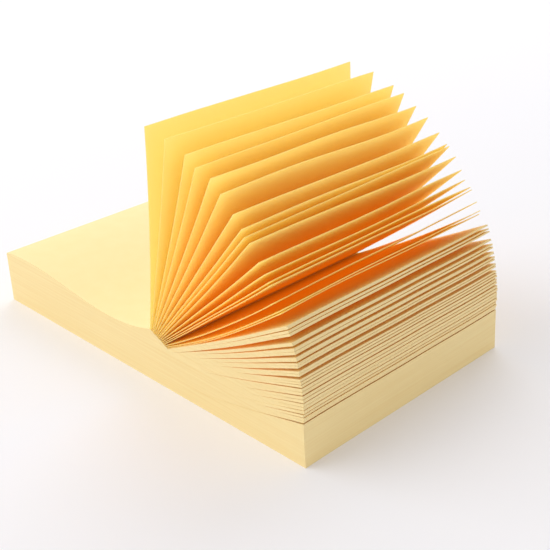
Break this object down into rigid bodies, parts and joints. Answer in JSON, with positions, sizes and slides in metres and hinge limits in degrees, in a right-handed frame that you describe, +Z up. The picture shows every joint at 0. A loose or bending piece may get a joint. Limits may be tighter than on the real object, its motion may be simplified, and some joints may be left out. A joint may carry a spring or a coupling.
{
  "type": "sticky note pad",
  "caption": "Rectangular pad of plain yellow self-stick note sheets, flat over its stuck half and fanned open to upright over its loose half.",
  "frame": {"origin": "centre of the pad's foot, on the surface that it lies on", "axes": "+X from the stuck short edge to the loose short edge, +Y from the near long side to the far one, +Z up"},
  "size_m": [0.127, 0.076, 0.0725],
  "materials": {
    "note_paper": "matt uncoated paper"
  },
  "bodies": {
    "root": {"note_sheets": "note_paper"}
  },
  "joints": []
}
